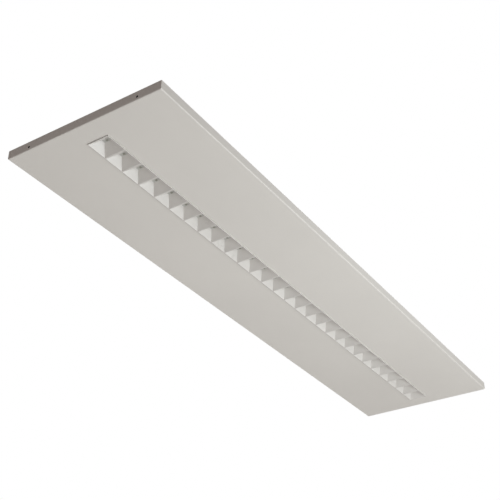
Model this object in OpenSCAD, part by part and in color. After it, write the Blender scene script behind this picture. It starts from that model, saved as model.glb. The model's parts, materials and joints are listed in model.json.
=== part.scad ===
// Surface-mounted linear LED ceiling light, 1195 x 295 mm, with a row of square anti-glare cells.
// Millimetres. Origin: centre of the face that meets the ceiling. X runs along the light, Z is up.
// A shallow box of a ceiling plate and four walls carries the base plate, gear and optics.
// The sheet cover slides up over the base plate and is held by four small set screws in its ends.

/* [Cover] */
// Length of the cover
cover_len = 1195; // [1100:5:1500]
// Width of the cover
cover_w = 295; // [250:5:600]
// Height of the cover's folded edge
cover_edge_h = 16; // [16:0.5:30]
// Thickness of the cover's steel sheet
cover_t = 1; // [0.8:0.1:1.5]
// Inner radius of the sheet bends
bend_in_r = 0.6; // [0.3:0.1:1.5]
// Gap between the slot in the cover and the reflector rim
slot_gap = 0.4; // [0.2:0.1:1]

/* [Gear box] */
// Height of the box between the ceiling and the cover's top edge
box_h = 34; // [30:1:60]
// Width of the box
box_w = 160; // [150:2:200]
// Distance from the end of the cover to the end of the box
box_setback = 47.5; // [35:0.5:60]
// Thickness of the box's and the base plate's steel sheet
frame_t = 0.8; // [0.6:0.1:1.2]
// Length of each leg of the cleats between the box and the base plate
cleat_leg = 12; // [10:1:18]
// Width of a cleat
cleat_w = 20; // [14:1:30]
// Distance between the fixing slots along the light
fixing_spacing_x = 800; // [500:10:860]
// Distance between the fixing slots across the light
fixing_spacing_y = 100; // [70:5:120]
// Width of a fixing slot
fixing_slot_w = 5.5; // [4.5:0.5:7]
// Length of a fixing slot, end to end
fixing_slot_len = 12; // [8:1:20]

/* [Base plate] */
// Height of the skirt folded down round the base plate
skirt_h = 13; // [12:0.5:14]
// Gap between the skirt and the cover's long sides
side_gap = 0.5; // [0.3:0.1:1.5]
// Gap between the skirt and the cover's ends, which holds the press nuts
end_gap = 3; // [2.5:0.1:5]
// Length of sheet left at each end of the opening in the base plate, from the box wall
opening_end_land = 20; // [14:1:40]
// Width of sheet left along each side of the opening in the base plate, from the box wall
opening_side_land = 14; // [12:1:20]
// Diameter of the rivets between the box and the base plate
rivet_d = 3.2; // [2.4:0.1:4]
// Cleats and rivets along each long side
rivet_count = 7; // [3:1:9]

/* [Reflectors] */
// Distance from the end of the cover to the row of cells
row_margin = 37.5; // [25:0.5:60]
// Cells in each of the four reflector modules
module_cells = 7; // [5:1:9]
// Width of the reflector rim, outside
rim_w = 40; // [36:0.5:46]
// How far the reflector rim stands proud of the light face
rim_proud = 1.5; // [0.5:0.1:3]
// Thickness of the reflector walls
cell_wall_t = 1.2; // [0.8:0.1:1.6]
// Length of the opening round each LED, along the light
aperture_len = 6; // [5:0.5:10]
// Width of the opening round each LED, across the light
aperture_w = 14.6; // [8:0.2:18]
// Height of the straight collar round each module
collar_h = 5.5; // [4.5:0.1:6]
// Gap between neighbouring modules
module_gap = 0.3; // [0.1:0.1:1]
// Thickness of the snap arms
arm_t = 2; // [1.5:0.1:2.5]
// Width of the snap arms
arm_w = 5; // [4:0.5:8]
// Height of the barb on a snap arm
barb_h = 1.6; // [1:0.1:2]
// How far the barb grips over the carrier
barb_grip = 0.8; // [0.5:0.1:1.2]

/* [LED boards] */
// Thickness of the LED boards
board_t = 1.6; // [1:0.1:2]
// Width of the LED boards
board_w = 44; // [38:1:45]
// Gap between neighbouring LED boards
board_gap = 0.6; // [0.3:0.1:2]
// Side of an LED
led_w = 3; // [2:0.1:4]
// Height of an LED
led_h = 0.8; // [0.5:0.1:1]
// Height of the board connectors
connector_h = 3.5; // [2.5:0.1:4]
// Width of the board connectors
connector_w = 7; // [5:0.5:7]
// Length of the board connectors
connector_len = 14; // [10:1:20]

/* [Carrier] */
// Thickness of the carrier sheet
carrier_t = 1.2; // [1:0.1:2]
// Width of the carrier past each side of the opening in the base plate
carrier_lap = 15.5; // [13:0.5:17]
// Height of the bars under the carrier's edges
carrier_lip_h = 6; // [4:0.5:8]
// Length of the carrier past each end of the row of cells
carrier_over = 4; // [2:0.5:8]
// Carrier screws along each side
carrier_screw_count = 4; // [3:1:6]
// Distance from the end of the opening in the base plate to the last carrier screw
carrier_screw_inset = 10; // [8:1:30]

/* [Driver] */
// Length of the driver case
driver_len = 360; // [280:5:400]
// Width of the driver case
driver_w = 30; // [28:1:34]
// Height of the driver case with its lid
driver_h = 21; // [19:0.5:22]
// Wall of the driver case
driver_wall_t = 1.2; // [1:0.1:1.5]
// Length of the driver's fixing ears
ear_len = 12; // [10:1:16]
// Gap between the driver and the box's side wall
driver_gap = 18.2; // [17:0.1:20]

/* [Mains terminal] */
// Distance from the end of the box to the cable inlet
inlet_inset = 70; // [50:1:90]
// Diameter of the cable inlet holes
inlet_hole_d = 20; // [16:1:22]
// Diameter of the cable passage in the grommet
inlet_bore_d = 9; // [7:0.5:12]
// Distance from the cable inlet to the terminal block
terminal_run = 75; // [60:1:90]
// Length of the terminal block along its wires
terminal_len = 28; // [24:1:32]
// Height of the terminal block
terminal_h = 16; // [15:0.5:18]
// Distance between the poles
pole_pitch = 9; // [8.5:0.5:11]
// Diameter of the wire ports
port_d = 3.4; // [3:0.1:4]
// Travel of the release buttons
button_travel = 1.5; // [1:0.1:2]
// How far a pressed release button still stands out of the block
button_stub = 0.5; // [0.3:0.1:1]

/* [Wires and screws] */
// Diameter of the mains and earth wires
mains_wire_d = 2.4; // [2:0.1:2.8]
// Diameter of the LED wires
led_wire_d = 1.8; // [1.5:0.1:2.2]
// Diameter of the set screws that hold the cover
lock_d = 4; // [3:0.5:5]
// Distance between the two set screws of one end
lock_spacing = 209; // [150:1:240]
// Height of the set screws above the light face
lock_h = 6; // [5.5:0.1:7]
// Diameter of the carrier and driver screws
screw_d = 4; // [3:0.5:4]
// Diameter of the board and terminal screws
small_screw_d = 3; // [2.5:0.5:3]

/* [Hidden] */

// Smoothness of round parts, and small clearances between pieces that fit together
$fn = 48;
bend_steps = 5;
eps = 0.01;
fit = 0.05;
loose = 0.25;
cut = 1;

// Heights of the stack, from the ceiling down
z_edge = -box_h;
z_base_under = z_edge - frame_t;
z_carrier_under = z_base_under - carrier_t;
z_board_under = z_carrier_under - board_t;
z_face = z_edge - cover_edge_h;
z_rim = z_face - rim_proud;
cell_depth = z_board_under - z_rim;

// Cover and base plate
base_len = cover_len - 2 * (cover_t + end_gap);
base_w = cover_w - 2 * (cover_t + side_gap);
z_lock = z_face + lock_h;

// Box, and the opening in the base plate that it covers
box_len = cover_len - 2 * box_setback;
box_wall_h = box_h - frame_t;
opening_len = box_len - 2 * opening_end_land;
opening_w = box_w - 2 * opening_side_land;
rivet_line = (box_w + cleat_leg) / 2;
rivet_step = (box_len - 2 * cleat_w) / (rivet_count - 1);
rivet_head_d = 1.9 * rivet_d;
rivet_head_h = 0.35 * rivet_d;

// Row of cells
module_count = 4;
row_len = cover_len - 2 * row_margin;
module_len = row_len / module_count;
cell_pitch = module_len / module_cells;
cell_half_x = cell_pitch / 2 - cell_wall_t;
cell_half_y = rim_w / 2 - cell_wall_t;
slope_x = (cell_half_x - aperture_len / 2) / cell_depth;
slope_y = (cell_half_y - aperture_w / 2) / cell_depth;
arm_cells = floor(module_cells / 2) - 0.5;
arm_x = arm_cells * cell_pitch;
arm_y = board_w / 2 + 0.7;
arm_foot_z = z_face + cover_t + 1;
arm_foot_t = 2;
barb_gap = 0.1;

// LED boards
board_len = module_len - board_gap;
connector_over = 0.5;
connector_y = rim_w / 2 - connector_w / 2 + connector_over;
board_screw_x = (floor(module_cells / 2) - 1.5) * cell_pitch;

// Carrier
carrier_len = row_len + 2 * carrier_over;
carrier_w = opening_w + 2 * carrier_lap;
carrier_screw_shift = 1;
carrier_line = (opening_w + opening_side_land) / 2 + carrier_screw_shift;
carrier_screw_step = (opening_len - 2 * carrier_screw_inset) / (carrier_screw_count - 1);
grommet_hole_d = 10;
grommet_gap = 20;
grommet_shift = 8;
grommet_x = driver_len / 2 + ear_len + grommet_gap;

// Screws: length past what they hold, and sizes of the heads
screw_over = 3;
screw_head_d = 2 * screw_d;
screw_head_h = 0.6 * screw_d;
small_screw_over = 2;
small_head_d = 1.87 * small_screw_d;
small_head_h = 0.67 * small_screw_d;

// Driver, standing on the carrier beside the box's side wall
driver_y = box_w / 2 - frame_t - driver_gap - driver_w / 2;
z_driver = z_base_under;
grommet_y = driver_y - grommet_shift;
driver_floor_t = driver_wall_t;
driver_ear_t = 1.5;
lid_t = driver_wall_t;
lid_lip_t = 1;
lid_lip_h = 3;
post_d = 5;
post_h = 4;
pcb_t = 1.6;
pcb_gap = 0.8;
z_pcb = z_driver + driver_floor_t + post_h;
pcb_len = driver_len - 2 * driver_wall_t - 2 * pcb_gap;
pcb_w = driver_w - 2 * driver_wall_t - 2 * pcb_gap;
transformer_x = 0.085 * pcb_len;
capacitor_xs = [-0.25 * pcb_len, -0.17 * pcb_len, 0.25 * pcb_len];
wire_block_len = 14;
wire_block_w = 20;
wire_block_h = 9;
wire_block_x = driver_len / 2 - driver_wall_t - wire_block_len / 2 - fit;
wire_port_y = 4.5;
wire_port_z = z_pcb + pcb_t + wire_block_h / 2;
wire_port_depth = 6;
wire_port_gap = 0.2;
wire_window_gap = 0.6;

// Terminal block, hanging from a bracket under the ceiling plate
inlet_x = -box_len / 2 + inlet_inset;
plug_x = inlet_x + 2 * terminal_run;
terminal_x = inlet_x + terminal_run;
bracket_t = 1;
bracket_rise = 4;
bracket_foot = 8;
bracket_len = terminal_len + 12;
terminal_lug_w = 6.5;
terminal_w = 3 * pole_pitch + 2 * terminal_lug_w;
bracket_w = terminal_w;
z_terminal = -frame_t - bracket_rise - bracket_t;
terminal_screw_y = terminal_w / 2 - terminal_lug_w / 2;
port_drop = 7;
z_port = z_terminal - port_drop;
chamber_roof = 2.5;
chamber_h = 9;
chamber_end_t = 4;
chamber_w = pole_pitch - 2.5;
z_chamber = z_terminal - chamber_roof - chamber_h;
contact_t = 0.8;
button_l = 6;
button_w = chamber_w - 1.5;
button_shoulder = 0.5;
button_shoulder_h = 1.2;
button_proud = button_travel + button_stub;

// Earth point beside the terminal block
stud_x = terminal_x + terminal_len / 2 + 28;
stud_y = -38;
stud_d = 4;
stud_len = 12;
lug_t = 0.8;
lug_d = 9;
earth_nut_w = 7;
earth_nut_h = 3.2;
z_lug = -frame_t - lug_t;
lug_barrel_len = 7;
lug_barrel_d = 4;

// Wire routes. The middle points are set by hand, the ends sit in the ports
wire_bend_r = 9;
wire_rings = 5;
wire_sides = 8;
port_out_x = terminal_x + terminal_len / 2;
wire_in_x = terminal_x + terminal_len / 2 - chamber_end_t + contact_t + 0.2;
driver_end_x = driver_len / 2 - driver_wall_t - wire_port_depth;
wire_mid_x = (port_out_x - driver_len / 2) / 2;
live_route = [
    [wire_in_x, pole_pitch, z_port],
    [port_out_x + 16, pole_pitch, z_port],
    [port_out_x + 40, pole_pitch + 20, z_port - 4],
    [wire_mid_x, driver_y + wire_port_y + 4, z_port - 6],
    [-driver_len / 2 - 26, driver_y + wire_port_y, wire_port_z],
    [-driver_end_x, driver_y + wire_port_y, wire_port_z]
];
neutral_route = [
    [wire_in_x, 0, z_port],
    [port_out_x + 18, 0, z_port],
    [port_out_x + 46, 12, z_port - 5],
    [wire_mid_x, driver_y - wire_port_y - 6, z_port - 7],
    [-driver_len / 2 - 24, driver_y - wire_port_y, wire_port_z],
    [-driver_end_x, driver_y - wire_port_y, wire_port_z]
];
earth_route = [
    [wire_in_x, -pole_pitch, z_port],
    [port_out_x + 9, -pole_pitch, z_port],
    [port_out_x + 20, -pole_pitch - 6, z_port + 2],
    [stud_x, stud_y + lug_d / 2 + lug_barrel_len + 8, z_lug - lug_barrel_d / 2 + lug_t],
    [stud_x, stud_y + lug_d / 2 + lug_barrel_len - 2, z_lug - lug_barrel_d / 2 + lug_t]
];
led_port_y = 3;
led_wire_gap = 1.4;
function led_route(side) = [
    [driver_end_x, driver_y + side * wire_port_y, wire_port_z],
    [driver_len / 2 + 14, driver_y + side * wire_port_y, wire_port_z],
    [grommet_x + side * led_wire_gap, grommet_y, wire_port_z - 2],
    [grommet_x + side * led_wire_gap, grommet_y, z_carrier_under - 4],
    [connector_x + side * led_port_y, grommet_y - 8, z_connector],
    [connector_x + side * led_port_y, connector_y + connector_w / 2 - led_port_depth, z_connector]
];
connector_x = grommet_x;
z_connector = z_board_under - connector_h / 2;
led_port_depth = 3;

// Round corner from angle a0 to a1 about point c
function arc(c, r, a0, a1) =
    [for (i = [0:bend_steps]) let(a = a0 + (a1 - a0) * i / bend_steps) c + r * [cos(a), sin(a)]];

// Section of a folded tray: floor at 0, sides up to h, outer bend radius r
function tray_section(w, h, r) = concat(
    [[-w / 2, h]],
    arc([-w / 2 + r, r], r, 180, 270),
    arc([w / 2 - r, r], r, 270, 360),
    [[w / 2, h]]
);

// Section of a cell along one axis, carried a little past the rim and the LED board
function cell_section(at, half, slope, grow) = [
    [at - half - grow - slope * cut, z_rim - cut],
    [at + half + grow + slope * cut, z_rim - cut],
    [at + half + grow - slope * (cell_depth + cut), z_board_under + cut],
    [at - half - grow + slope * (cell_depth + cut), z_board_under + cut]
];

// Unit vector
function unit(v) = v / norm(v);

// Curve that rounds the corner at b between a and c
function corner(a, b, c) =
    let(p = b + unit(a - b) * min(wire_bend_r, 0.45 * norm(a - b)))
    let(q = b + unit(c - b) * min(wire_bend_r, 0.45 * norm(c - b)))
    [for (i = [0:wire_rings]) let(s = i / wire_rings) (1 - s) * (1 - s) * p + 2 * s * (1 - s) * b + s * s * q];

// Route with all its inner corners rounded
function rounded(route) = concat(
    [route[0]],
    [for (i = [1:len(route) - 2]) each corner(route[i - 1], route[i], route[i + 1])],
    [route[len(route) - 1]]
);

// Direction of the path at point i
function heading(path, i) = unit(path[min(i + 1, len(path) - 1)] - path[max(i - 1, 0)]);

// Sideways vector at each point of the path, carried along without twist
function sideways(path, i = 0, last = [0.3, 0.2, 0.9], found = []) =
    i == len(path) ? found :
    let(t = heading(path, i))
    let(s = unit(last - (last * t) * t))
    sideways(path, i + 1, s, concat(found, [s]));

// Extrusion of a section along X from 0
module along_x_from_0(l) {
    rotate([90, 0, 90])
        linear_extrude(l)
            children();
}

// Extrusion of a section along X, or along Y, centred
module along_x(l) {
    rotate([90, 0, 90])
        translate([0, 0, -l / 2])
            linear_extrude(l)
                children();
}

module along_y(l) {
    rotate([90, 0, 0])
        translate([0, 0, -l / 2])
            linear_extrude(l)
                children();
}

// Box with its edges rounded where the floor meets the sides
module tray_block(l, w, h, r) {
    intersection() {
        along_x(l + cut) polygon(tray_section(w, h, r));
        along_y(w + cut) polygon(tray_section(l, h, r));
    }
}

// Folded sheet tray, floor at 0 and open at the top
module folded_tray(l, w, h, t) {
    difference() {
        tray_block(l, w, h, bend_in_r + t);
        translate([0, 0, t])
            tray_block(l - 2 * t, w - 2 * t, h, bend_in_r);
    }
}

// The same tray turned over, its floor's outer face at height z
module hung_tray(l, w, h, t, z) {
    translate([0, 0, z])
        mirror([0, 0, 1])
            folded_tray(l, w, h, t);
}

module slot(l, w, h) {
    hw = (l - w) / 2;
    cube([2 * hw, w, h], center = true);
    for (side = [-1, 1])
        translate([side * hw, 0, 0])
            cylinder(d = w, h = h, center = true);
}

// Screw pointing up from z = 0, its head below, with a cross recess
module screw(d, length, head_d, head_h) {
    recess_w = 0.22 * head_d;
    recess_l = 0.62 * head_d;
    difference() {
        union() {
            cylinder(d = d, h = length);
            translate([0, 0, -head_h])
                cylinder(d = head_d, h = head_h);
        }
        for (turn = [0, 90])
            rotate(turn)
                translate([0, 0, -head_h])
                    cube([recess_l, recess_w, 1.2 * head_h], center = true);
    }
}

// Round wire swept along a route
module wire(route, d) {
    path = rounded(route);
    side = sideways(path);
    n = len(path);
    s = wire_sides;
    points = [
        for (i = [0:n - 1])
            let(u = side[i], v = cross(heading(path, i), u))
                for (k = [0:s - 1])
                    path[i] + d / 2 * (cos(360 * k / s) * u + sin(360 * k / s) * v)
    ];
    skin = [
        for (i = [0:n - 2], k = [0:s - 1])
            let(a = i * s + k, b = i * s + (k + 1) % s)
                each [[a, a + s, b + s], [a, b + s, b]]
    ];
    ends = [[for (k = [0:s - 1]) k], [for (k = [s - 1:-1:0]) (n - 1) * s + k]];
    polyhedron(points, concat(skin, ends), convexity = 6);
}

module at_fixings() {
    for (sx = [-1, 1], sy = [-1, 1])
        translate([sx * fixing_spacing_x / 2, sy * fixing_spacing_y / 2, 0])
            children();
}

// Rivet points along both sides, each with its Y axis pointing away from the box
module at_rivets() {
    for (i = [0:rivet_count - 1], sy = [0, 1])
        mirror([0, sy, 0])
            translate([(i - (rivet_count - 1) / 2) * rivet_step, rivet_line, z_edge])
                children();
}

module at_carrier_screws() {
    for (i = [0:carrier_screw_count - 1], sy = [-1, 1])
        translate([(i - (carrier_screw_count - 1) / 2) * carrier_screw_step, sy * carrier_line, 0])
            children();
}

module at_driver_screws() {
    for (sx = [-1, 1])
        translate([sx * (driver_len + ear_len) / 2, driver_y, z_driver])
            children();
}

module at_locks() {
    for (sx = [-1, 1], sy = [-1, 1])
        translate([sx * cover_len / 2, sy * lock_spacing / 2, z_lock])
            rotate([0, -90 * sx, 0])
                children();
}

module at_modules() {
    for (i = [0:module_count - 1])
        translate([module_x(i), 0, 0])
            children();
}

function module_x(i) = (i - (module_count - 1) / 2) * module_len;

module at_board_screws() {
    for (sx = [-1, 1])
        translate([sx * board_screw_x, 0, z_board_under])
            children();
}

module at_arms() {
    for (sx = [-1, 1], sy = [0, 1])
        mirror([0, sy, 0])
            translate([sx * arm_x, 0, 0])
                children();
}

// Sheet against the ceiling, with the fixing slots and the cable inlets
module ceiling_plate() {
    color([0.88, 0.88, 0.87])
        difference() {
            translate([0, 0, -frame_t / 2])
                cube([box_len, box_w, frame_t], center = true);
            at_fixings()
                slot(fixing_slot_len, fixing_slot_w, 4 * frame_t);
            for (x = [inlet_x, plug_x])
                translate([x, 0, 0])
                    cylinder(d = inlet_hole_d, h = 4 * frame_t, center = true);
        }
}

// Strips welded under the long edges of the ceiling plate
module box_side_walls() {
    color([0.87, 0.87, 0.86])
        for (sy = [-1, 1])
            translate([0, sy * (box_w - frame_t) / 2, -frame_t - box_wall_h / 2])
                cube([box_len, frame_t, box_wall_h], center = true);
}

// Strips welded under its short edges, between the long ones
module box_end_walls() {
    color([0.87, 0.87, 0.86])
        for (sx = [-1, 1])
            translate([sx * (box_len - frame_t) / 2, 0, -frame_t - box_wall_h / 2])
                cube([frame_t, box_w - 2 * frame_t, box_wall_h], center = true);
}

// Angle cleats welded outside the long walls and riveted to the base plate
module box_cleats() {
    color([0.85, 0.85, 0.84])
        at_rivets()
            difference() {
                union() {
                    translate([-cleat_w / 2, -cleat_leg / 2, 0])
                        cube([cleat_w, cleat_leg, frame_t]);
                    translate([-cleat_w / 2, -cleat_leg / 2, 0])
                        cube([cleat_w, frame_t, cleat_leg]);
                }
                cylinder(d = rivet_d + 2 * fit, h = 4 * frame_t, center = true);
            }
}

module base_plate() {
    color([0.86, 0.86, 0.85])
        difference() {
            hung_tray(base_len, base_w, skirt_h, frame_t, z_edge);
            translate([0, 0, z_edge])
                cube([opening_len, opening_w, 4 * frame_t], center = true);
            at_rivets()
                cylinder(d = rivet_d + 2 * fit, h = 4 * frame_t, center = true);
            at_carrier_screws()
                translate([0, 0, z_edge])
                    cylinder(d = screw_d + 2 * fit, h = 4 * frame_t, center = true);
        }
}

module rivets() {
    color([0.75, 0.76, 0.77])
        at_rivets() {
            translate([0, 0, -frame_t])
                cylinder(d = rivet_d, h = 2 * frame_t);
            translate([0, 0, frame_t])
                cylinder(d = rivet_head_d, h = rivet_head_h);
            translate([0, 0, -frame_t - rivet_d / 2])
                cylinder(d = 1.5 * rivet_d, h = rivet_d / 2);
        }
}

// Grommet or plug in a hole of the ceiling plate, flush with its outer face
module inlet_grommet() {
    flange_t = 2;
    flange_over = 3;
    color([0.12, 0.12, 0.12])
        translate([inlet_x, 0, 0])
            difference() {
                union() {
                    translate([0, 0, -frame_t])
                        cylinder(d = inlet_hole_d - 2 * fit, h = frame_t);
                    translate([0, 0, -frame_t - flange_t])
                        cylinder(d = inlet_hole_d + 2 * flange_over, h = flange_t);
                }
                translate([0, 0, -frame_t - flange_t - cut])
                    cylinder(d = inlet_bore_d, h = frame_t + flange_t + 2 * cut);
            }
}

module blanking_plug() {
    flange_t = 1.5;
    flange_over = 2.5;
    wall_t = 1.5;
    color([0.12, 0.12, 0.12])
        translate([plug_x, 0, 0])
            difference() {
                union() {
                    translate([0, 0, -frame_t])
                        cylinder(d = inlet_hole_d - 2 * fit, h = frame_t);
                    translate([0, 0, -frame_t - flange_t])
                        cylinder(d = inlet_hole_d + 2 * flange_over, h = flange_t);
                }
                translate([0, 0, -frame_t - flange_t - cut])
                    cylinder(d = inlet_hole_d - 2 * wall_t, h = flange_t + cut);
            }
}

module terminal_bracket() {
    color([0.78, 0.79, 0.8])
        translate([terminal_x, 0, -frame_t])
            difference() {
                union() {
                    translate([-bracket_len / 2, -bracket_w / 2, -bracket_rise - bracket_t])
                        cube([bracket_len, bracket_w, bracket_rise + bracket_t]);
                    translate([-bracket_len / 2, -bracket_w / 2 - bracket_foot, -bracket_t])
                        cube([bracket_len, bracket_w + 2 * bracket_foot, bracket_t]);
                }
                translate([-bracket_len / 2 - cut, -bracket_w / 2 + bracket_t, -bracket_rise])
                    cube([bracket_len + 2 * cut, bracket_w - 2 * bracket_t, bracket_rise + cut]);
                for (sy = [-1, 1])
                    translate([0, sy * terminal_screw_y, -bracket_rise - bracket_t - cut])
                        cylinder(d = small_screw_d + 2 * fit, h = bracket_t + 2 * cut);
            }
}

module terminal_body() {
    inner_len = terminal_len - 2 * chamber_end_t;
    color([0.9, 0.9, 0.88])
        translate([terminal_x, 0, 0])
            difference() {
                translate([-terminal_len / 2, -terminal_w / 2, z_terminal - terminal_h])
                    cube([terminal_len, terminal_w, terminal_h]);
                for (i = [-1:1])
                    translate([0, i * pole_pitch, 0]) {
                        translate([-inner_len / 2, -chamber_w / 2, z_chamber])
                            cube([inner_len, chamber_w, chamber_h]);
                        translate([0, 0, z_port])
                            rotate([0, 90, 0])
                                cylinder(d = port_d, h = terminal_len + 2 * cut, center = true);
                        translate([-button_l / 2 - loose, -button_w / 2 - loose, z_terminal - terminal_h - cut])
                            cube([button_l + 2 * loose, button_w + 2 * loose, terminal_h - chamber_h + cut]);
                    }
                for (sy = [-1, 1])
                    translate([0, sy * terminal_screw_y, z_terminal - terminal_h - cut])
                        cylinder(d = small_screw_d + 2 * loose, h = terminal_h + 2 * cut);
            }
}

// One bent strip per pole: a bus bar with a leg behind each wire port
module terminal_contacts() {
    span = terminal_len - 2 * chamber_end_t - 0.4;
    leg_h = chamber_h - 2;
    color([0.8, 0.62, 0.35])
        for (i = [-1:1])
            translate([terminal_x, i * pole_pitch, z_terminal - chamber_roof]) {
                translate([-span / 2, -chamber_w / 2 + loose, -contact_t])
                    cube([span, chamber_w - 2 * loose, contact_t]);
                for (sx = [-1, 1])
                    translate([sx * (span - contact_t) / 2, 0, -leg_h / 2])
                        cube([contact_t, chamber_w - 2 * loose, leg_h], center = true);
            }
}

module terminal_screws() {
    color([0.76, 0.77, 0.78])
        for (sy = [-1, 1])
            translate([terminal_x, sy * terminal_screw_y, z_terminal - terminal_h])
                screw(small_screw_d, terminal_h + bracket_t + small_screw_over, small_head_d, small_head_h);
}

// Push button in its well, pressed upwards; the shoulder inside keeps it in the block
module terminal_button(pole, shade) {
    z_top = z_chamber + loose + button_shoulder_h;
    z_low = z_terminal - terminal_h - button_proud;
    color(shade)
        translate([terminal_x, pole * pole_pitch, 0]) {
            translate([-button_l / 2, -button_w / 2, z_low])
                cube([button_l, button_w, z_top - z_low]);
            translate([-button_l / 2 - loose - button_shoulder, -button_w / 2, z_top - button_shoulder_h])
                cube([button_l + 2 * (loose + button_shoulder), button_w, button_shoulder_h]);
        }
}

module terminal_button_live() {
    terminal_button(1, [0.9, 0.45, 0.1]);
}

module terminal_button_neutral() {
    terminal_button(0, [0.2, 0.4, 0.75]);
}

module terminal_button_earth() {
    terminal_button(-1, [0.3, 0.65, 0.25]);
}

module earth_stud() {
    color([0.8, 0.78, 0.7])
        translate([stud_x, stud_y, -frame_t - stud_len])
            cylinder(d = stud_d, h = stud_len);
}

module earth_lug() {
    color([0.82, 0.8, 0.75])
        translate([stud_x, stud_y, z_lug]) {
            difference() {
                union() {
                    cylinder(d = lug_d, h = lug_t);
                    translate([-lug_barrel_d / 2, 0, 0])
                        cube([lug_barrel_d, lug_d / 2 + 1, lug_t]);
                }
                translate([0, 0, -cut])
                    cylinder(d = stud_d + 2 * fit, h = lug_t + 2 * cut);
            }
            translate([0, lug_d / 2, lug_t - lug_barrel_d / 2])
                rotate([-90, 0, 0])
                    difference() {
                        cylinder(d = lug_barrel_d, h = lug_barrel_len);
                        translate([0, 0, 1])
                            cylinder(d = mains_wire_d + 4 * fit, h = lug_barrel_len);
                    }
        }
}

module earth_nut() {
    color([0.78, 0.79, 0.8])
        translate([stud_x, stud_y, z_lug - earth_nut_h])
            difference() {
                union() {
                    cylinder(d = earth_nut_w / cos(30), h = earth_nut_h, $fn = 6);
                    translate([0, 0, earth_nut_h - 1])
                        cylinder(d = lug_d, h = 1);
                }
                translate([0, 0, -cut])
                    cylinder(d = stud_d + 2 * fit, h = earth_nut_h + 2 * cut);
            }
}

module earth_wire() {
    color([0.45, 0.7, 0.25])
        wire(earth_route, mains_wire_d);
}

module live_wire() {
    color([0.45, 0.28, 0.18])
        wire(live_route, mains_wire_d);
}

module neutral_wire() {
    color([0.25, 0.42, 0.75])
        wire(neutral_route, mains_wire_d);
}

module driver_case() {
    color([0.93, 0.93, 0.92])
        difference() {
            union() {
                translate([-driver_len / 2, driver_y - driver_w / 2, z_driver])
                    cube([driver_len, driver_w, driver_h - lid_t]);
                translate([-driver_len / 2 - ear_len, driver_y - driver_w / 2, z_driver])
                    cube([driver_len + 2 * ear_len, driver_w, driver_ear_t]);
            }
            difference() {
                translate([
                    -driver_len / 2 + driver_wall_t,
                    driver_y - driver_w / 2 + driver_wall_t,
                    z_driver + driver_floor_t
                ])
                    cube([driver_len - 2 * driver_wall_t, driver_w - 2 * driver_wall_t, driver_h]);
                for (sx = [-1, 1], sy = [-1, 1])
                    translate([sx * driver_len / 3, driver_y + sy * driver_w / 4, z_driver])
                        cylinder(d = post_d, h = driver_floor_t + post_h);
            }
            for (sx = [-1, 1], sy = [-1, 1])
                translate([sx * driver_len / 2, driver_y + sy * wire_port_y, wire_port_z])
                    rotate([0, 90, 0])
                        cylinder(d = mains_wire_d + 2 * wire_window_gap, h = 4 * driver_wall_t, center = true);
            at_driver_screws()
                cylinder(d = screw_d + 2 * loose, h = 4 * driver_ear_t, center = true);
        }
}

module driver_lid() {
    lip_w = driver_w - 2 * driver_wall_t - 2 * fit;
    lip_len = driver_len - 2 * driver_wall_t - 2 * fit;
    z_lid = z_driver + driver_h - lid_t;
    color([0.95, 0.95, 0.94])
        translate([0, driver_y, z_lid])
            difference() {
                union() {
                    translate([-driver_len / 2, -driver_w / 2, 0])
                        cube([driver_len, driver_w, lid_t]);
                    translate([-lip_len / 2, -lip_w / 2, -lid_lip_h])
                        cube([lip_len, lip_w, lid_lip_h + eps]);
                }
                translate([-lip_len / 2 + lid_lip_t, -lip_w / 2 + lid_lip_t, -lid_lip_h - cut])
                    cube([lip_len - 2 * lid_lip_t, lip_w - 2 * lid_lip_t, lid_lip_h + cut]);
            }
}

module driver_board() {
    color([0.15, 0.4, 0.22])
        translate([-pcb_len / 2, driver_y - pcb_w / 2, z_pcb])
            cube([pcb_len, pcb_w, pcb_t]);
}

module driver_transformer() {
    core_l = 24;
    core_w = 22;
    core_h = 10;
    bobbin_l = 16;
    bobbin_w = 16;
    bobbin_h = 12;
    color([0.9, 0.8, 0.3])
        translate([transformer_x, driver_y, z_pcb + pcb_t]) {
            translate([-core_l / 2, -core_w / 2, 0])
                cube([core_l, core_w, core_h]);
            translate([-bobbin_l / 2, -bobbin_w / 2, 0])
                cube([bobbin_l, bobbin_w, bobbin_h]);
        }
}

module driver_capacitors() {
    can_d = 10;
    can_len = 20;
    color([0.2, 0.2, 0.3])
        for (x = capacitor_xs)
            translate([x, driver_y, z_pcb + pcb_t + can_d / 2])
                rotate([0, 90, 0])
                    cylinder(d = can_d, h = can_len, center = true);
}

// Push-in wire block at one end of the driver, with two ports facing outwards
module wire_block(side) {
    color([0.92, 0.92, 0.9])
        translate([side * wire_block_x, driver_y, z_pcb + pcb_t + wire_block_h / 2])
            difference() {
                cube([wire_block_len, wire_block_w, wire_block_h], center = true);
                for (sy = [-1, 1])
                    translate([side * wire_block_len / 2, sy * wire_port_y, 0])
                        rotate([0, 90, 0])
                            cylinder(d = mains_wire_d + 2 * wire_port_gap, h = 2 * wire_port_depth, center = true);
            }
}

module driver_input_terminal() {
    wire_block(-1);
}

module driver_output_terminal() {
    wire_block(1);
}

module driver_screws() {
    color([0.76, 0.77, 0.78])
        at_driver_screws()
            translate([0, 0, driver_ear_t])
                mirror([0, 0, 1])
                    screw(screw_d, driver_ear_t + carrier_t + screw_over, screw_head_d, screw_head_h);
}

module led_wire_plus() {
    color([0.75, 0.15, 0.12])
        wire(led_route(1), led_wire_d);
}

module led_wire_minus() {
    color([0.12, 0.12, 0.12])
        wire(led_route(-1), led_wire_d);
}

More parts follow.
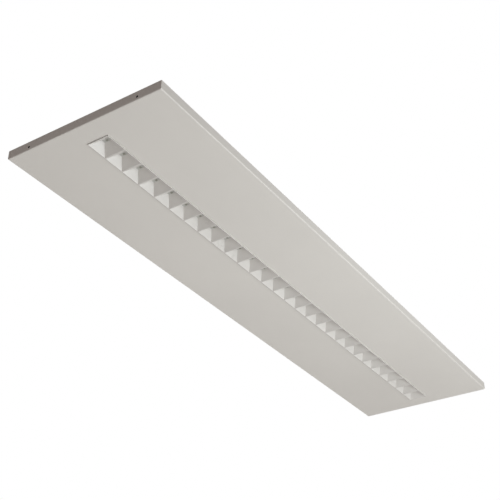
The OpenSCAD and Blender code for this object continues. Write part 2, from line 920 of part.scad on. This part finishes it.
module carrier_grommet() {
    flange_t = 1.2;
    flange_over = 1.5;
    wall_t = 1.5;
    color([0.12, 0.12, 0.12])
        translate([grommet_x, grommet_y, z_carrier_under])
            difference() {
                union() {
                    cylinder(d = grommet_hole_d - 2 * fit, h = carrier_t);
                    translate([0, 0, -flange_t])
                        cylinder(d = grommet_hole_d + 2 * flange_over, h = flange_t);
                    translate([0, 0, carrier_t])
                        cylinder(d = grommet_hole_d + 2 * flange_over, h = flange_t);
                }
                translate([0, 0, -flange_t - cut])
                    cylinder(d = grommet_hole_d - 2 * wall_t, h = carrier_t + 2 * flange_t + 2 * cut);
            }
}

module led_carrier() {
    color([0.8, 0.81, 0.82])
        difference() {
            translate([-carrier_len / 2, -carrier_w / 2, z_carrier_under])
                cube([carrier_len, carrier_w, carrier_t]);
            at_modules() {
                at_arms()
                    translate([-arm_w / 2 - loose, arm_y - loose, z_carrier_under - cut])
                        cube([arm_w + 2 * loose, arm_t + 2 * loose + barb_grip / 2, carrier_t + 2 * cut]);
                at_board_screws()
                    cylinder(d = small_screw_d + 2 * fit, h = board_t + carrier_t + cut);
            }
            at_carrier_screws()
                translate([0, 0, z_carrier_under - cut])
                    cylinder(d = screw_d + 2 * loose, h = carrier_t + 2 * cut);
            at_driver_screws()
                cylinder(d = screw_d + 2 * fit, h = 4 * carrier_t, center = true);
            translate([grommet_x, grommet_y, z_carrier_under - cut])
                cylinder(d = grommet_hole_d, h = carrier_t + 2 * cut);
        }
}

// Stiffening bars welded under the carrier's long edges
module carrier_lips() {
    color([0.79, 0.8, 0.81])
        for (sy = [-1, 1])
            translate([0, sy * (carrier_w - carrier_t) / 2, z_carrier_under - carrier_lip_h / 2])
                cube([carrier_len, carrier_t, carrier_lip_h], center = true);
}

module carrier_screws() {
    color([0.76, 0.77, 0.78])
        at_carrier_screws()
            translate([0, 0, z_carrier_under])
                screw(screw_d, carrier_t + frame_t + screw_over, screw_head_d, screw_head_h);
}

module led_board(i) {
    color([0.95, 0.95, 0.95])
        translate([module_x(i), 0, 0])
            difference() {
                translate([-board_len / 2, -board_w / 2, z_board_under])
                    cube([board_len, board_w, board_t]);
                at_board_screws()
                    cylinder(d = small_screw_d + 2 * fit, h = 4 * board_t, center = true);
            }
}

module leds(i) {
    color([0.95, 0.85, 0.4])
        for (k = [0:module_cells - 1])
            translate([module_x(i) + (k - (module_cells - 1) / 2) * cell_pitch, 0, z_board_under - led_h / 2])
                cube([led_w, led_w, led_h], center = true);
}

module led_board_1() {
    led_board(0);
}

module led_board_2() {
    led_board(1);
}

module led_board_3() {
    led_board(2);
}

module led_board_4() {
    led_board(3);
}

module leds_1() {
    leds(0);
}

module leds_2() {
    leds(1);
}

module leds_3() {
    leds(2);
}

module leds_4() {
    leds(3);
}

// Plug-in links between neighbouring boards
module board_links() {
    color([0.9, 0.9, 0.86])
        for (i = [1:module_count - 1])
            translate([(i - module_count / 2) * module_len, connector_y, z_connector])
                cube([connector_len, connector_w, connector_h], center = true);
}

// Push-in connector where the driver's wires reach the boards
module board_connector() {
    color([0.9, 0.9, 0.86])
        translate([connector_x, connector_y, z_connector])
            difference() {
                cube([connector_len, connector_w, connector_h], center = true);
                for (side = [-1, 1])
                    translate([side * led_port_y, connector_w / 2, 0])
                        rotate([90, 0, 0])
                            cylinder(d = led_wire_d + 2 * wire_port_gap, h = 2 * led_port_depth, center = true);
            }
}

module board_screws() {
    color([0.76, 0.77, 0.78])
        at_modules()
            at_board_screws()
                screw(small_screw_d, board_t + carrier_t + small_screw_over, small_head_d, small_head_h);
}

// Cells of one module, grown by a wall for the outside
module cell_block(grow) {
    intersection() {
        along_x(module_len + 2 * cell_pitch)
            polygon(cell_section(0, cell_half_y, slope_y, grow));
        along_y(2 * rim_w)
            for (k = [0:module_cells - 1])
                polygon(cell_section((k - (module_cells - 1) / 2) * cell_pitch, cell_half_x, slope_x, grow));
    }
}

// Snap arm: a foot on the collar, a post past the board's edge and a barb over the carrier
module snap_arm() {
    z_barb = z_base_under + barb_gap;
    translate([-arm_w / 2, rim_w / 2 - cell_wall_t, arm_foot_z])
        cube([arm_w, arm_y + arm_t - rim_w / 2 + cell_wall_t, arm_foot_t]);
    translate([-arm_w / 2, arm_y, arm_foot_z])
        cube([arm_w, arm_t, z_barb + barb_h - arm_foot_z]);
    translate([-arm_w / 2, arm_y, z_barb])
        along_x_from_0(arm_w)
            polygon([[0, 0], [arm_t + loose + barb_grip, 0], [arm_t, barb_h], [0, barb_h]]);
}

module reflector(i) {
    collar_len = module_len - module_gap;
    color([0.93, 0.93, 0.92])
        translate([module_x(i), 0, 0])
            difference() {
                union() {
                    intersection() {
                        cell_block(cell_wall_t);
                        translate([-collar_len / 2, -rim_w / 2, z_rim])
                            cube([collar_len, rim_w, cell_depth]);
                    }
                    difference() {
                        translate([-collar_len / 2, -rim_w / 2, z_rim])
                            cube([collar_len, rim_w, collar_h]);
                        translate([-collar_len / 2 + cell_wall_t, -rim_w / 2 + cell_wall_t, z_rim + cell_wall_t])
                            cube([collar_len - 2 * cell_wall_t, rim_w - 2 * cell_wall_t, collar_h]);
                    }
                    at_arms()
                        snap_arm();
                }
                cell_block(0);
            }
}

module reflector_1() {
    reflector(0);
}

module reflector_2() {
    reflector(1);
}

module reflector_3() {
    reflector(2);
}

module reflector_4() {
    reflector(3);
}

module cover() {
    color([0.94, 0.94, 0.93])
        difference() {
            translate([0, 0, z_face])
                folded_tray(cover_len, cover_w, cover_edge_h, cover_t);
            translate([0, 0, z_face])
                cube([row_len + 2 * slot_gap, rim_w + 2 * slot_gap, 4 * cover_t], center = true);
            at_locks()
                cylinder(d = lock_d + 2 * fit, h = 4 * cover_t, center = true);
        }
}

// Threaded press nuts on the inside of the cover's end walls
module press_nuts() {
    nut_wall_t = 1.75;
    nut_t = end_gap - 3 * loose;
    color([0.76, 0.77, 0.78])
        at_locks()
            translate([0, 0, cover_t])
                difference() {
                    cylinder(d = lock_d + 2 * nut_wall_t, h = nut_t);
                    translate([0, 0, -cut])
                        cylinder(d = lock_d + 2 * fit, h = nut_t + 2 * cut);
                }
}

// Set screws through the cover's ends, their tips against the base plate's skirt
module lock_screws() {
    sink = 0.2;
    key_w = lock_d / 2;
    key_depth = lock_d / 2;
    color([0.1, 0.1, 0.1])
        at_locks()
            difference() {
                translate([0, 0, sink])
                    cylinder(d = lock_d, h = cover_t + end_gap - sink - fit);
                cylinder(d = key_w / cos(30), h = sink + key_depth, $fn = 6);
            }
}

ceiling_plate();
box_side_walls();
box_end_walls();
box_cleats();
base_plate();
rivets();
inlet_grommet();
blanking_plug();
terminal_bracket();
terminal_body();
terminal_contacts();
terminal_screws();
terminal_button_live();
terminal_button_neutral();
terminal_button_earth();
earth_stud();
earth_nut();
earth_lug();
earth_wire();
live_wire();
neutral_wire();
driver_case();
driver_lid();
driver_board();
driver_transformer();
driver_capacitors();
driver_input_terminal();
driver_output_terminal();
driver_screws();
led_wire_plus();
led_wire_minus();
carrier_grommet();
led_carrier();
carrier_lips();
carrier_screws();
led_board_1();
led_board_2();
led_board_3();
led_board_4();
leds_1();
leds_2();
leds_3();
leds_4();
board_links();
board_connector();
board_screws();
reflector_1();
reflector_2();
reflector_3();
reflector_4();
cover();
press_nuts();
lock_screws();
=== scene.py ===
"""Looks of a surface-mounted linear LED ceiling light.

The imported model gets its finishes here, with a plain floor, soft lights and the photo's camera.
"""

import json
from math import cos, pi, sin

import bpy
from mathutils import Matrix, Vector

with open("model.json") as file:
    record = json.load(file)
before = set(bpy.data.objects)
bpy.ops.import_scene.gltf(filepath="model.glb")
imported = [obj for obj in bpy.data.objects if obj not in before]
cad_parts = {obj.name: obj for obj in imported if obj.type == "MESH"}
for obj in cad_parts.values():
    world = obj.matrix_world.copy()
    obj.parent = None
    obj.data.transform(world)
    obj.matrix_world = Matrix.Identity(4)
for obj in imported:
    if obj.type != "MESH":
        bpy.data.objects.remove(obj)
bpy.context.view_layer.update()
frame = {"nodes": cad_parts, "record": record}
scene = bpy.context.scene

# Camera

CAMERA_AT = Vector((-1.3664, -0.8030, -0.9510))
CAMERA_RIGHT = Vector((0.5478, -0.8366, 0.0045)).normalized()
CAMERA_UP = Vector((-0.4506, -0.2905, 0.8441)).normalized()
SENSOR_MM = 36.0
LENS_MM = 69.15
NEAR, FAR = 0.05, 60.0


def make_camera():
    data = bpy.data.cameras.new("photo_camera")
    data.sensor_width = SENSOR_MM
    data.lens = LENS_MM
    data.clip_start, data.clip_end = NEAR, FAR
    camera = bpy.data.objects.new("photo_camera", data)
    scene.collection.objects.link(camera)
    back = CAMERA_RIGHT.cross(CAMERA_UP).normalized()
    up = back.cross(CAMERA_RIGHT).normalized()
    turn = Matrix((CAMERA_RIGHT, up, back)).transposed()
    camera.matrix_world = Matrix.Translation(CAMERA_AT) @ turn.to_4x4()
    scene.camera = camera


# Floor measures, shared by the floor and the light over it

FLOOR_RADIUS = 13.5
FLOOR_Z = -2.7
FLOOR_SIDES = 96

# Light and surroundings

SEEN_WHITE = (1, 1, 1, 1)
ROOM_COLOUR = (1.0, 0.8, 0.746, 1)
ROOM_STRENGTH = 0.154

MIDDLE = (0, 0, -0.05)
PLAIN = (1, 1, 1)
COOL = (0.95, 0.99, 1.0)

# name: place, point it faces, width and height in metres, watts, colour, shape
LIGHTS = {
    "floor_light": (
        (0, 0, -1.9), (0, 0, -3), (2 * FLOOR_RADIUS, 2 * FLOOR_RADIUS), 690, PLAIN, "ELLIPSE",
    ),
    "below": ((-0.1, -0.3, -1.2), MIDDLE, (0.8, 0.8), 0.5, PLAIN, "RECTANGLE"),
    "side": ((0.12, -1.22, -0.72), (0.05, 0, -0.05), (0.8, 0.6), 9.4, COOL, "RECTANGLE"),
    "side_low": ((0.4, -1.5, -0.15), (0.1, 0, -0.05), (1.2, 0.3), 3.5, PLAIN, "RECTANGLE"),
    "top": ((0.2, 0.6, 1.6), (0, 0, 0), (1.6, 1.2), 26, PLAIN, "RECTANGLE"),
    "back": ((1.5, 1.3, 0.2), MIDDLE, (1.2, 0.8), 5.8, PLAIN, "RECTANGLE"),
}


def make_world():
    """The camera sees plain white all round; the part is lit by a dimmer, warmer room."""
    world = bpy.data.worlds.new("studio")
    scene.world = world
    world.use_nodes = True
    nodes, links = world.node_tree.nodes, world.node_tree.links
    nodes.clear()
    seen = nodes.new("ShaderNodeBackground")
    seen.inputs["Color"].default_value = SEEN_WHITE
    lit = nodes.new("ShaderNodeBackground")
    lit.inputs["Color"].default_value = ROOM_COLOUR
    lit.inputs["Strength"].default_value = ROOM_STRENGTH
    path = nodes.new("ShaderNodeLightPath")
    mix = nodes.new("ShaderNodeMixShader")
    out = nodes.new("ShaderNodeOutputWorld")
    links.new(path.outputs["Is Camera Ray"], mix.inputs["Fac"])
    links.new(lit.outputs["Background"], mix.inputs[1])
    links.new(seen.outputs["Background"], mix.inputs[2])
    links.new(mix.outputs["Shader"], out.inputs["Surface"])


def soft_light(name, at, towards, size, power, colour, shape):
    data = bpy.data.lights.new(name, "AREA")
    data.shape = shape
    data.size, data.size_y = size
    data.energy = power
    data.color = colour
    light = bpy.data.objects.new(name, data)
    scene.collection.objects.link(light)
    light.location = at
    light.rotation_mode = "QUATERNION"
    light.rotation_quaternion = (Vector(towards) - Vector(at)).to_track_quat("-Z", "Y")
    light.visible_camera = False


def make_lights():
    for name, values in LIGHTS.items():
        soft_light(name, *values)


# Material nodes

MICRON = 1e-6
NOISE_LOW, NOISE_HIGH = 0.3, 0.7


class Nodes:
    """Small helper round one material's node tree."""

    def __init__(self, name):
        self.material = bpy.data.materials.new(name)
        self.material.use_nodes = True
        self.tree = self.material.node_tree
        self.tree.nodes.clear()
        self.shader = self.add("ShaderNodeBsdfPrincipled")
        out = self.add("ShaderNodeOutputMaterial")
        self.link(self.shader.outputs["BSDF"], out.inputs["Surface"])
        self.place = self.add("ShaderNodeTexCoord").outputs["Object"]

    def add(self, kind, **values):
        node = self.tree.nodes.new(kind)
        for key, value in values.items():
            setattr(node, key, value)
        return node

    def link(self, a, b):
        self.tree.links.new(a, b)

    def set(self, **values):
        """Values for the shader's own sockets, with _ for a space in a socket's name."""
        for key, value in values.items():
            self.shader.inputs[key.replace("_", " ")].default_value = value

    def noise(self, per_metre, detail=2.0, stretch=None):
        """Noise of so many cells per metre, or fewer along an axis with a stretch under 1."""
        place = self.place
        if stretch:
            mapping = self.add("ShaderNodeMapping")
            mapping.inputs["Scale"].default_value = stretch
            self.link(place, mapping.inputs["Vector"])
            place = mapping.outputs["Vector"]
        noise = self.add("ShaderNodeTexNoise")
        noise.inputs["Scale"].default_value = per_metre
        noise.inputs["Detail"].default_value = detail
        self.link(place, noise.inputs["Vector"])
        return noise.outputs["Fac"]

    def times_plus(self, value, factor, added):
        """value * factor + added."""
        node = self.add("ShaderNodeMath", operation="MULTIPLY_ADD")
        self.link(value, node.inputs[0])
        node.inputs[1].default_value = factor
        self.link(added, node.inputs[2])
        return node.outputs[0]

    def spread(self, value, low, high):
        """A noise value as a number from low to high."""
        node = self.add("ShaderNodeMapRange")
        node.inputs["From Min"].default_value = NOISE_LOW
        node.inputs["From Max"].default_value = NOISE_HIGH
        node.inputs["To Min"].default_value = low
        node.inputs["To Max"].default_value = high
        self.link(value, node.inputs["Value"])
        return node.outputs["Result"]

    def base_colour(self, value, *stops):
        """stops are (value, colour), from the lowest value to the highest."""
        node = self.add("ShaderNodeValToRGB")
        elements = node.color_ramp.elements
        for element, (at, colour) in zip(elements, (stops[0], stops[-1])):
            element.position, element.color = at, (*colour, 1)
        for at, colour in stops[1:-1]:
            elements.new(at).color = (*colour, 1)
        self.link(value, node.inputs["Fac"])
        self.link(node.outputs["Color"], self.shader.inputs["Base Color"])

    def roughness(self, value, low, high):
        self.link(self.spread(value, low, high), self.shader.inputs["Roughness"])

    def bump(self, *heights):
        """heights are (value, depth in metres)."""
        normal = None
        for value, depth in heights:
            node = self.add("ShaderNodeBump")
            node.inputs["Strength"].default_value = 1.0
            node.inputs["Distance"].default_value = depth
            self.link(value, node.inputs["Height"])
            if normal:
                self.link(normal, node.inputs["Normal"])
            normal = node.outputs["Normal"]
        self.link(normal, self.shader.inputs["Normal"])


def shade(colour, factor):
    return tuple(min(1.0, c * factor) for c in colour)


# Kinds of finish: rough is the middle of the roughness, depths are in metres


def coated(name, colour, rough, peel=20 * MICRON):
    """Powder coat: orange peel of about 1.5 mm, a finer grain, and a slow drift of tone."""
    m = Nodes(name)
    drift = m.noise(per_metre=5, detail=3)
    grain = m.noise(per_metre=2600, detail=1)
    peel_height = m.noise(per_metre=650)
    tone = m.times_plus(grain, 0.35, drift)
    m.base_colour(tone, (0.35, shade(colour, 0.97)), (0.95, shade(colour, 1.03)))
    m.roughness(peel_height, rough - 0.05, rough + 0.06)
    m.bump((peel_height, peel), (grain, peel / 4))
    return m.material


def moulded(name, colour, rough, grain_depth=10 * MICRON):
    """Moulded plastic: fine spark-eroded grain, and slow changes of tone and gloss."""
    m = Nodes(name)
    drift = m.noise(per_metre=22, detail=4)
    grain = m.noise(per_metre=1800, detail=3)
    m.base_colour(drift, (0.3, shade(colour, 0.965)), (0.7, shade(colour, 1.03)))
    m.roughness(drift, rough - 0.04, rough + 0.05)
    m.bump((grain, grain_depth))
    return m.material


def galvanised(name, colour, rough):
    """Zinc-coated sheet, rolled along X: rolling lines, cloudy plating and spangles."""
    m = Nodes(name)
    cloud = m.noise(per_metre=40, detail=5)
    lines = m.noise(per_metre=900, stretch=(0.04, 1, 1))
    m.base_colour(
        cloud, (0.3, shade(colour, 0.9)), (0.55, colour), (0.75, shade(colour, 1.08)),
    )
    clouded = m.spread(cloud, rough - 0.07, rough + 0.1)
    spangles = m.add("ShaderNodeTexVoronoi")
    spangles.inputs["Scale"].default_value = 160.0
    m.link(m.place, spangles.inputs["Vector"])
    split = m.add("ShaderNodeSeparateColor")
    m.link(spangles.outputs["Color"], split.inputs["Color"])
    spangled = m.times_plus(split.outputs["Red"], 0.12, clouded)
    m.link(spangled, m.shader.inputs["Roughness"])
    m.bump((lines, 4 * MICRON), (cloud, 20 * MICRON))
    m.set(Metallic=1.0)
    return m.material


def turned_metal(name, colour, rough, metallic=1.0):
    """Small plated fixings: fine scratches and stained plating."""
    m = Nodes(name)
    stain = m.noise(per_metre=500, detail=4)
    scratch = m.noise(per_metre=3000, stretch=(1, 1, 8))
    m.base_colour(stain, (0.3, shade(colour, 0.8)), (0.7, shade(colour, 1.08)))
    m.roughness(scratch, rough - 0.08, rough + 0.12)
    m.bump((scratch, 4 * MICRON))
    m.set(Metallic=metallic)
    return m.material


def rubber(name, colour):
    """Black rubber with a pale bloom."""
    m = Nodes(name)
    bloom = m.noise(per_metre=260, detail=5)
    grain = m.noise(per_metre=2400)
    m.base_colour(bloom, (0.35, colour), (0.75, shade(colour, 1.9)))
    m.roughness(bloom, 0.62, 0.8)
    m.bump((grain, 20 * MICRON))
    return m.material


def sleeve(name, colour):
    """PVC wire sleeve, with the soft ripple of the strands under it."""
    m = Nodes(name)
    ripple = m.noise(per_metre=900, stretch=(0.35, 1, 1))
    drift = m.noise(per_metre=60)
    m.base_colour(drift, (0.3, shade(colour, 0.85)), (0.7, shade(colour, 1.12)))
    m.roughness(ripple, 0.3, 0.45)
    m.bump((ripple, 30 * MICRON))
    return m.material


def circuit_board(name, colour):
    """Solder mask over copper: faint tracks show as a slightly different tone."""
    m = Nodes(name)
    tracks = m.add("ShaderNodeTexBrick")
    tracks.inputs["Scale"].default_value = 90.0
    tracks.inputs["Mortar Size"].default_value = 0.03
    tracks.inputs["Color1"].default_value = (*shade(colour, 1.12), 1)
    tracks.inputs["Color2"].default_value = (*colour, 1)
    tracks.inputs["Mortar"].default_value = (*shade(colour, 0.8), 1)
    m.link(m.place, tracks.inputs["Vector"])
    m.link(tracks.outputs["Color"], m.shader.inputs["Base Color"])
    m.roughness(m.noise(per_metre=300), 0.25, 0.4)
    m.bump((tracks.outputs["Fac"], 20 * MICRON))
    return m.material


def phosphor(name, colour):
    """The grainy phosphor of an LED under clear resin."""
    m = Nodes(name)
    grains = m.noise(per_metre=6000, detail=3)
    m.base_colour(grains, (0.3, shade(colour, 0.8)), (0.7, shade(colour, 1.1)))
    m.roughness(grains, 0.25, 0.5)
    m.bump((grains, 10 * MICRON))
    m.set(Coat_Weight=0.6, Coat_Roughness=0.08)
    return m.material


def wrapped(name, colour):
    """Polyester tape wound round a coil."""
    m = Nodes(name)
    turns = m.noise(per_metre=120, stretch=(6, 0.2, 0.2))
    m.base_colour(turns, (0.35, shade(colour, 0.82)), (0.7, shade(colour, 1.1)))
    m.roughness(turns, 0.22, 0.4)
    m.bump((turns, 60 * MICRON))
    return m.material


# Finishes: the record's slot, then the kind of finish and its colour, roughness and the rest

FINISHES = {
    "cover_paint": (coated, (0.785, 0.778, 0.74), 0.42),
    "frame_paint": (coated, (0.77, 0.765, 0.74), 0.5, 30 * MICRON),
    "carrier_steel": (galvanised, (0.62, 0.63, 0.64), 0.48),
    "reflector_white": (moulded, (0.735, 0.728, 0.70), 0.3, 6 * MICRON),
    # painted shade: the LED board is a mid grey, darker than its white solder mask, standing in
    # for the shade deep in each reflector cell
    "board_grey": (moulded, (0.58, 0.59, 0.56), 0.32),
    # painted shade: the LED phosphor is a dull dark grey-green, darker than its own colour,
    # standing in for the shade at the top of each reflector cell
    "led_phosphor": (phosphor, (0.36, 0.37, 0.31)),
    "connector_white": (moulded, (0.8, 0.79, 0.74), 0.45),
    "driver_white": (moulded, (0.8, 0.8, 0.78), 0.5, 30 * MICRON),
    "pcb_green": (circuit_board, (0.02, 0.12, 0.04)),
    "transformer_yellow": (wrapped, (0.75, 0.5, 0.06)),
    "capacitor_sleeve": (moulded, (0.02, 0.025, 0.06), 0.28),
    "screw_zinc": (turned_metal, (0.66, 0.67, 0.69), 0.32),
    "screw_black": (turned_metal, (0.012, 0.012, 0.013), 0.42, 0.4),
    "rivet_aluminium": (turned_metal, (0.74, 0.75, 0.76), 0.36),
    "rubber_black": (rubber, (0.014, 0.014, 0.015)),
    "brass": (turned_metal, (0.78, 0.56, 0.26), 0.3),
    "terminal_grey": (moulded, (0.62, 0.62, 0.6), 0.42),
    "button_orange": (moulded, (0.8, 0.16, 0.01), 0.32),
    "button_blue": (moulded, (0.02, 0.09, 0.4), 0.32),
    "button_green": (moulded, (0.05, 0.3, 0.04), 0.32),
    "wire_brown": (sleeve, (0.1, 0.035, 0.012)),
    "wire_blue": (sleeve, (0.02, 0.09, 0.4)),
    "wire_green": (sleeve, (0.12, 0.32, 0.03)),
    "wire_red": (sleeve, (0.45, 0.015, 0.012)),
    "wire_black": (sleeve, (0.012, 0.012, 0.012)),
}


def dress():
    """Every CAD node takes the material of its slot in the record."""
    materials = {slot: kind(slot, *values) for slot, (kind, *values) in FINISHES.items()}
    for row in frame["record"]["subparts"]:
        node = frame["nodes"][row["node"]]
        node.data.materials.clear()
        node.data.materials.append(materials[row["material_slot"]])


# Floor


def make_floor():
    """A wide round floor at room height below the ceiling."""
    m = Nodes("floor_paint")
    cloud = m.noise(per_metre=1.5, detail=3)
    m.base_colour(cloud, (0.3, (0.78, 0.775, 0.76)), (0.7, (0.82, 0.815, 0.8)))
    m.set(Roughness=0.7)
    mesh = bpy.data.meshes.new("floor")
    turns = [2 * pi * k / FLOOR_SIDES for k in range(FLOOR_SIDES)]
    rim = [(FLOOR_RADIUS * cos(a), FLOOR_RADIUS * sin(a), FLOOR_Z) for a in turns]
    mesh.from_pydata(rim, [], [range(FLOOR_SIDES)])
    floor = bpy.data.objects.new("floor", mesh)
    scene.collection.objects.link(floor)
    mesh.materials.append(m.material)


make_camera()
make_world()
make_lights()
dress()
make_floor()
scene.view_settings.view_transform = "Standard"
